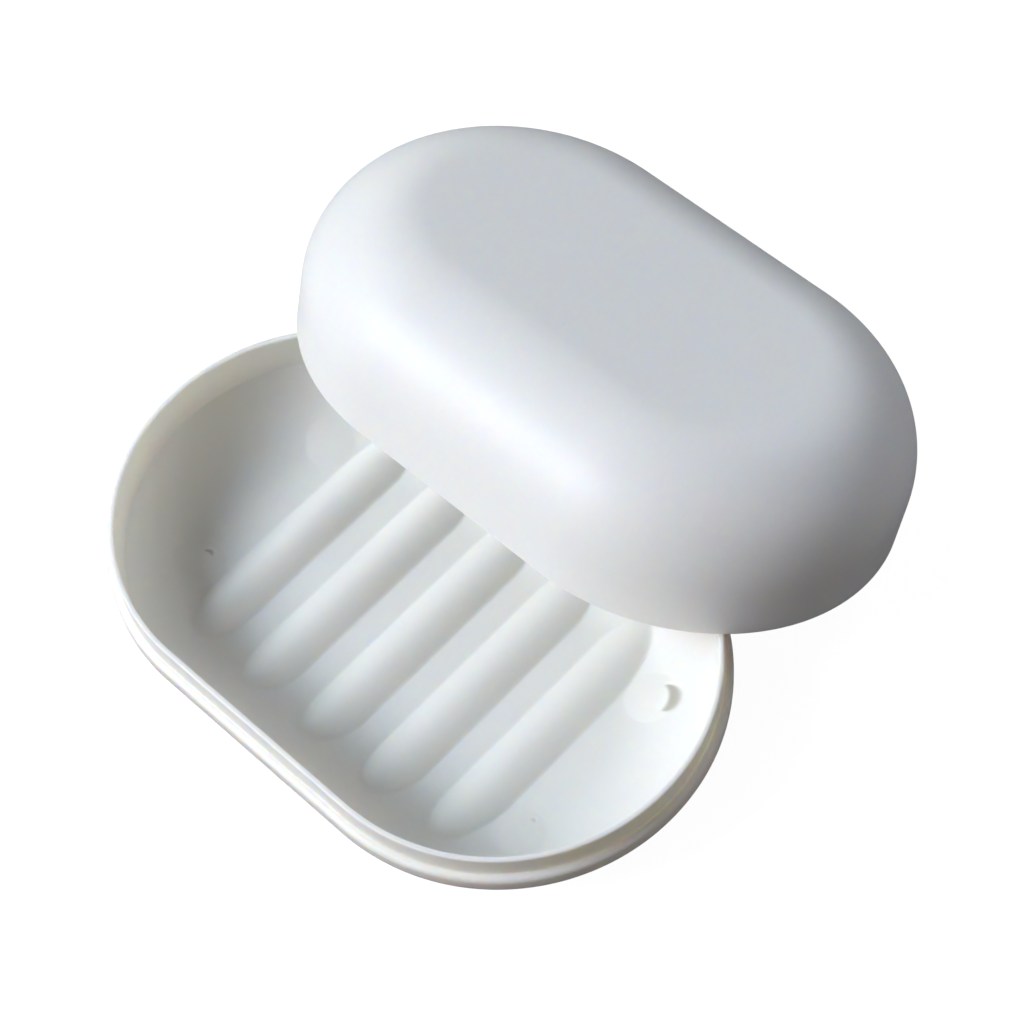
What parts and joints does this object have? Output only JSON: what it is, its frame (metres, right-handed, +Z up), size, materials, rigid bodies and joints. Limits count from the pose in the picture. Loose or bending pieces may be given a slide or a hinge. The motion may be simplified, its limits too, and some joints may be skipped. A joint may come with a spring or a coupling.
{
  "type": "soap dish",
  "caption": "Open oval travel soap box: a ribbed tray with a stepped rim, and a loose domed lid leaning on it with one edge on the table.",
  "frame": {"origin": "centre of the tray's underside, on the surface that the tray stands on", "axes": "+X along the box's length, +Y across it and along the ribs, towards the lid that lies behind the tray, +Z up"},
  "size_m": [0.1196, 0.1255, 0.0458],
  "materials": {
    "tray_plastic": "white moulded plastic, satin",
    "lid_plastic": "white moulded plastic, satin"
  },
  "bodies": {
    "tray": {"tray": "tray_plastic"},
    "lid": {"lid": "lid_plastic"}
  },
  "joints": [
    {"name": "lid_lift", "type": "slide", "parent": "tray", "child": "lid", "axis": [0, 0, 1], "range_m": [0, 0.06]}
  ]
}
